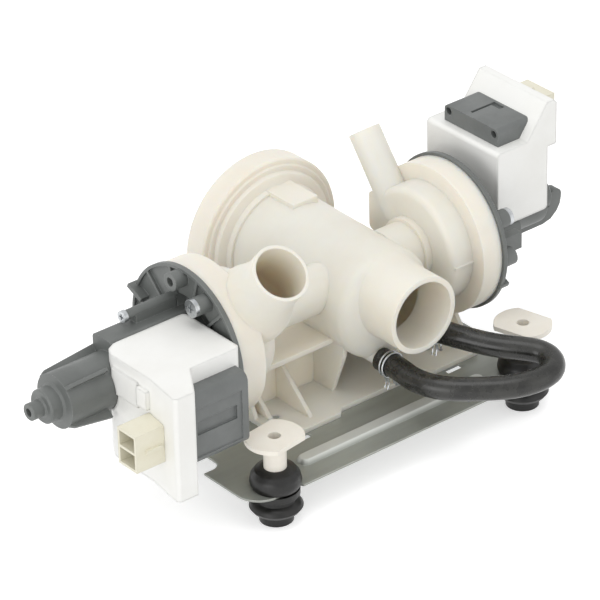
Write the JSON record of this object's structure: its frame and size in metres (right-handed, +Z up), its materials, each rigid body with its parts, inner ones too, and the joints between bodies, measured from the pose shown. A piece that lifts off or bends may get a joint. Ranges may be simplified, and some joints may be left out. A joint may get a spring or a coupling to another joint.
{
  "type": "washing machine pump",
  "caption": "Twin washing machine pump: drain and circulation pumps on a filter housing, steel plate and rubber isolators.",
  "frame": {"origin": "centre of the four isolator screws, in the plane of the floor that the isolators stand on", "axes": "+X from the drain pump to the circulation pump along both pump axes, +Y from the inlet to the filter cap, +Z up"},
  "size_m": [0.3745, 0.2162, 0.156],
  "materials": {
    "housing_plastic": "satin cream moulding",
    "cover_plastic": "satin white moulding",
    "fitting_plastic": "satin ivory moulding",
    "motor_plastic": "satin grey moulding",
    "core_steel": "laminated core in a grey moulding",
    "plate_steel": "coated sheet steel",
    "zinc_steel": "zinc plated steel",
    "black_rubber": "matte black rubber",
    "copper_wire": "enamelled copper wire",
    "ferrite": "sintered ferrite",
    "bearing_carbon": "carbon filled bearing"
  },
  "bodies": {
    "frame": {"base_plate": "plate_steel", "base_screws": "zinc_steel", "isolator_front_left": "black_rubber", "isolator_front_right": "black_rubber", "isolator_rear_left": "black_rubber", "isolator_rear_right": "black_rubber", "bushing_front_left": "fitting_plastic", "bushing_front_right": "fitting_plastic", "bushing_rear_left": "fitting_plastic", "bushing_rear_right": "fitting_plastic", "pump_housing": "housing_plastic", "drain_motor_cover": "motor_plastic", "drain_cover_seal": "black_rubber", "drain_cover_screws": "zinc_steel", "drain_stator_core": "core_steel", "drain_windings": "copper_wire", "drain_coil_cover": "cover_plastic", "drain_connector": "fitting_plastic", "drain_terminals": "zinc_steel", "drain_stator_screw": "zinc_steel", "drain_front_bearing": "bearing_carbon", "drain_rear_bearing": "bearing_carbon", "circulation_motor_cover": "motor_plastic", "circulation_cover_seal": "black_rubber", "circulation_cover_screws": "zinc_steel", "circulation_stator_core": "core_steel", "circulation_windings": "copper_wire", "circulation_coil_cover": "cover_plastic", "circulation_connector": "fitting_plastic", "circulation_terminals": "zinc_steel", "circulation_stator_screw": "zinc_steel", "circulation_front_bearing": "bearing_carbon", "circulation_rear_bearing": "bearing_carbon", "hose": "black_rubber", "hose_clamp_front": "zinc_steel", "hose_clamp_rear": "zinc_steel"},
    "drain_rotor": {"drain_shaft": "zinc_steel", "drain_magnet": "ferrite", "drain_impeller": "motor_plastic"},
    "circulation_rotor": {"circulation_shaft": "zinc_steel", "circulation_magnet": "ferrite", "circulation_impeller": "bearing_carbon"},
    "filter_basket": {"filter_insert": "fitting_plastic"},
    "filter_cap": {"filter_cap": "motor_plastic", "filter_seal": "black_rubber"}
  },
  "joints": [
    {"name": "drain_rotor_spin", "type": "hinge", "parent": "frame", "child": "drain_rotor", "pos_m": [-0.1005, 0, 0.086], "axis": [1, 0, 0], "continuous": true},
    {"name": "circulation_rotor_spin", "type": "hinge", "parent": "frame", "child": "circulation_rotor", "pos_m": [0.09, 0, 0.086], "axis": [1, 0, 0], "continuous": true},
    {"name": "filter_slide", "type": "slide", "parent": "frame", "child": "filter_basket", "axis": [0, 1, 0], "range_m": [0, 0.009]},
    {"name": "filter_cap_turn", "type": "hinge", "parent": "filter_basket", "child": "filter_cap", "pos_m": [0.018, 0.08, 0.076], "axis": [0, 1, 0], "range_deg": [0, 540]}
  ],
  "couplings": [
    {"joint": "filter_slide", "follows": "filter_cap_turn", "m_per_rad": 0.000954}
  ]
}
